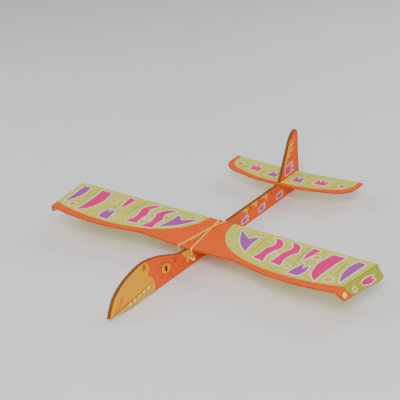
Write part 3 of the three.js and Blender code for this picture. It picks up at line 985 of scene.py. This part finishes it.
# ---- round pieces ----
def make_turned(name, node, ink, slot, rounding, steps):
    low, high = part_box(node)
    centre = (Vector(low) + Vector(high)) / 2 / MM
    half = (high[0] - low[0]) / 2 / MM
    radius = (high[2] - low[2]) / 2 / MM
    profile = [(-half, 0.0)]
    for k in range(ROUNDING_STEPS + 1):
        angle = math.pi / 2 * k / ROUNDING_STEPS
        inward, lower = rounding * (1 - math.cos(angle)), rounding * (1 - math.sin(angle))
        profile.append((-half + inward, radius - lower))
    profile += [(-x, r) for x, r in profile[::-1]]
    made = Builder(name)
    rings = []
    for x, r in profile:
        angles = [math.tau * k / steps for k in range(steps)]
        rings.append([(centre + Vector((x, r * math.cos(a), r * math.sin(a)))) * MM for a in angles])
    for first, second in zip(rings, rings[1:]):
        made.strip(first, second, ink)
    made.finish("airframe", slot, node)


# ---- rubber bands ----
BAND_WIDTH = 1.15
BAND_DEPTH = 1.0
STRAND_OFFSET = 0.85
BAND_FRONT_X = 11.5
BAND_REAR_X = 8.0
CROSSING_Y = 12.0
CROSSING_LIFT = 1.5
LEADING_EDGE_Y, TRAILING_EDGE_Y = -56.1, 44.75  # where the bands turn over the wing
PEG_RADIUS = 2.0
WRAP_STEPS = 8
SECTION_STEPS = 12
SECTION_SQUARENESS = 0.6  # 1 is an ellipse, and less is nearer a rectangle


def band_route(side, lift):
    """The closed path of a band's middle: over both pegs' ends and the wing between them."""
    front_peg, rear_peg = (peg_centre(node) for node in ("front_band_peg", "rear_band_peg"))
    slope = -side * (BAND_REAR_X + BAND_FRONT_X) / (rear_peg.y - front_peg.y)
    half = BAND_DEPTH / 2
    top = WING_BASE_Z + WING_THICKNESS + BAND_FRONT_X * math.tan(DIHEDRAL) + half
    under = WING_BASE_Z + 0.4
    front_edge, rear_edge = LEADING_EDGE_Y - half, TRAILING_EDGE_Y + half

    def strand(offset):
        def at(y, z):
            return Vector((side * BAND_FRONT_X + offset + slope * (y - front_peg.y), y, z))

        return [
            at(front_edge + 0.1, under - 2.0),
            at(front_edge, under),
            at(front_edge, top - 1.3),
            at(front_edge + 0.45, top - 0.35),
            at(front_edge + 1.5, top),
            at(front_edge + 6, top),
            at(CROSSING_Y - 34, top),
            at(CROSSING_Y - 14, top + lift * 0.85),
            at(CROSSING_Y - 6, top + lift),
            at(CROSSING_Y + 6, top + lift),
            at(CROSSING_Y + 14, top + lift * 0.85),
            at(CROSSING_Y + 28, top),
            at(rear_edge - 1.5, top - 0.05),
            at(rear_edge - 0.45, top - 0.45),
            at(rear_edge, top - 1.4),
            at(rear_edge, under),
            at(rear_edge + 0.1, under - 2.0),
        ]

    def wrap(peg, x, edge, offset):
        radius = PEG_RADIUS + half + 0.02
        to_edge = Vector((edge[0] - peg.y, edge[1] - peg.z)).normalized()
        outward = Vector((to_edge.y, -to_edge.x)) * math.copysign(1, to_edge.x)
        out = []
        for k in range(WRAP_STEPS + 1):
            angle = math.pi * k / WRAP_STEPS
            p = Vector((peg.y, peg.z)) - outward * (radius * math.cos(angle) * math.copysign(1, offset))
            p -= to_edge * (radius * math.sin(angle))
            out.append(Vector((x + offset * math.cos(angle), p.x, p.y)))
        return out

    there, back = strand(STRAND_OFFSET), strand(-STRAND_OFFSET)[::-1]
    rear = wrap(rear_peg, -side * BAND_REAR_X, (rear_edge, under - 2), STRAND_OFFSET)
    ahead = wrap(front_peg, side * BAND_FRONT_X, (front_edge, under - 2), -STRAND_OFFSET)
    return there + rear + back + ahead


def peg_centre(node):
    low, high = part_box(node)
    return (Vector(low) + Vector(high)) / 2 / MM


def make_band(name, side, lift):
    points = [Vector(p) for p in smooth(band_route(side, lift), 4, True)]
    section = []
    for k in range(SECTION_STEPS):
        angle = math.tau * k / SECTION_STEPS
        c, s = math.cos(angle), math.sin(angle)
        across = math.copysign(abs(c) ** SECTION_SQUARENESS, c) * BAND_WIDTH / 2
        deep = math.copysign(abs(s) ** SECTION_SQUARENESS, s) * BAND_DEPTH / 2
        section.append((across, deep))
    made = Builder(f"{name}_loop")
    rings = []
    count = len(points)
    for i, p in enumerate(points):
        along = (points[(i + 1) % count] - points[i - 1]).normalized()
        out = Vector((1, 0, 0)).cross(along).normalized()
        wide = along.cross(out).normalized()
        rings.append([(p + wide * a + out * b) * MM for a, b in section])
    for i in range(count):
        made.strip(rings[i], rings[(i + 1) % count], "rubber", True)
    made.finish("airframe", "rubber_band", name)


# ---- build ----
for side in SIDES:
    make_wing(side)
    make_tip(side)
    make_strip(side)
make_tail()
make_plank()
make_fin()
make_plain("wing_seat", ACROSS, (-40, 40))
make_plain("saddle_rail_port", FLANK["port"], (3, 6))
make_plain("saddle_rail_starboard", FLANK["starboard"], (3, 6))
make_stickers()
make_turned("front_peg_dowel", "front_band_peg", "dowel", "birch_dowel", 0.5, 32)
make_turned("rear_peg_dowel", "rear_band_peg", "dowel", "birch_dowel", 0.5, 32)
make_turned("nose_weight_disc", "nose_weight", "steel", "nose_weight_steel", 0.4, 64)
make_band("rubber_band_lower", 1, 0.0)
make_band("rubber_band_upper", -1, CROSSING_LIFT)


# ---- floor and light ----
FLOOR_HALF_SIZE = 6.0
FLOOR_DROP = 0.0005
LIT_POINT = (0, 0, 0.03)


def make_floor():
    n = Nodes("floor")
    tone = n.noise((3, 3, 3), detail=2)
    n.shade(Base_Color=n.ramp(tone, (0.3, grey(0.9)), (0.7, grey(0.93))), Roughness=0.9)
    a = FLOOR_HALF_SIZE
    mesh = bpy.data.meshes.new("floor")
    mesh.from_pydata([(-a, -a, 0), (a, -a, 0), (a, a, 0), (-a, a, 0)], [], [(0, 1, 2, 3)])
    mesh.materials.append(n.material)
    floor = bpy.data.objects.new("floor", mesh)
    floor.location.z = CAD_BOX[0][2] - FLOOR_DROP
    bpy.context.scene.collection.objects.link(floor)


def make_light(name, place, size, power):
    data = bpy.data.lights.new(name, "AREA")
    data.shape = "DISK"
    data.size = size
    data.energy = power
    light = bpy.data.objects.new(name, data)
    light.location = place
    light.rotation_euler = (Vector(LIT_POINT) - Vector(place)).to_track_quat("-Z", "Y").to_euler()
    bpy.context.scene.collection.objects.link(light)


def make_world():
    world = bpy.data.worlds.new("studio")
    world.use_nodes = True
    world.node_tree.nodes["Background"].inputs["Color"].default_value = (0.93, 0.96, 1.0, 1.0)
    world.node_tree.nodes["Background"].inputs["Strength"].default_value = 0.42
    bpy.context.scene.world = world


make_floor()
make_world()
make_light("key", (1.0, -1.3, 1.6), 1.2, 33)
make_light("fill", (-1.5, -0.6, 1.3), 1.6, 13)
make_light("rim", (0.4, 1.6, 1.2), 1.2, 11)
